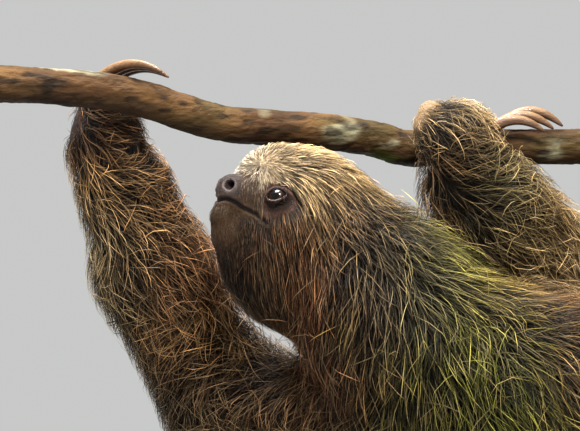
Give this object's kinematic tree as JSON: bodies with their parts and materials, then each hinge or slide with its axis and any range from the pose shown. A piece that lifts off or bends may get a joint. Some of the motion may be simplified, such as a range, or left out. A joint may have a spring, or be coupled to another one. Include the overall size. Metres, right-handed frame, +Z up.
{
  "type": "three-toed sloth",
  "caption": "Life-size brown-throated three-toed sloth as a still display model, hanging below a cut branch that two rods hold over a flat base.",
  "frame": {"origin": "middle of the underside of the base", "axes": "+Z up; +X along the branch from the head end to the rump end; -Y towards the side that shows the animal's back"},
  "size_m": [0.74, 0.3, 0.3698],
  "materials": {
    "skin_coat": "coarse shaggy fur over skin, brown and straw with a green algal tinge on the back",
    "eye": "polished glass eye, dark brown",
    "claw": "smooth horn, tan to brown",
    "bark": "smooth bark with pale patches",
    "base_wood": "dark stained wood, satin",
    "rod_steel": "brushed"
  },
  "bodies": {
    "root": {"head": "skin_coat", "neck": "skin_coat", "trunk": "skin_coat", "tail": "skin_coat", "arm_left_upper": "skin_coat", "arm_left_fore": "skin_coat", "hand_left": "skin_coat", "arm_right_upper": "skin_coat", "arm_right_fore": "skin_coat", "hand_right": "skin_coat", "leg_left_thigh": "skin_coat", "leg_left_shin": "skin_coat", "foot_left": "skin_coat", "leg_right_thigh": "skin_coat", "leg_right_shin": "skin_coat", "foot_right": "skin_coat", "eye_left": "eye", "eye_right": "eye", "claw_hand_left_1": "claw", "claw_hand_left_2": "claw", "claw_hand_left_3": "claw", "claw_hand_right_1": "claw", "claw_hand_right_2": "claw", "claw_hand_right_3": "claw", "claw_foot_left_1": "claw", "claw_foot_left_2": "claw", "claw_foot_left_3": "claw", "claw_foot_right_1": "claw", "claw_foot_right_2": "claw", "claw_foot_right_3": "claw", "perch_branch": "bark", "stand_base": "base_wood", "stand_rod_head_end": "rod_steel", "stand_rod_rump_end": "rod_steel"}
  },
  "joints": []
}
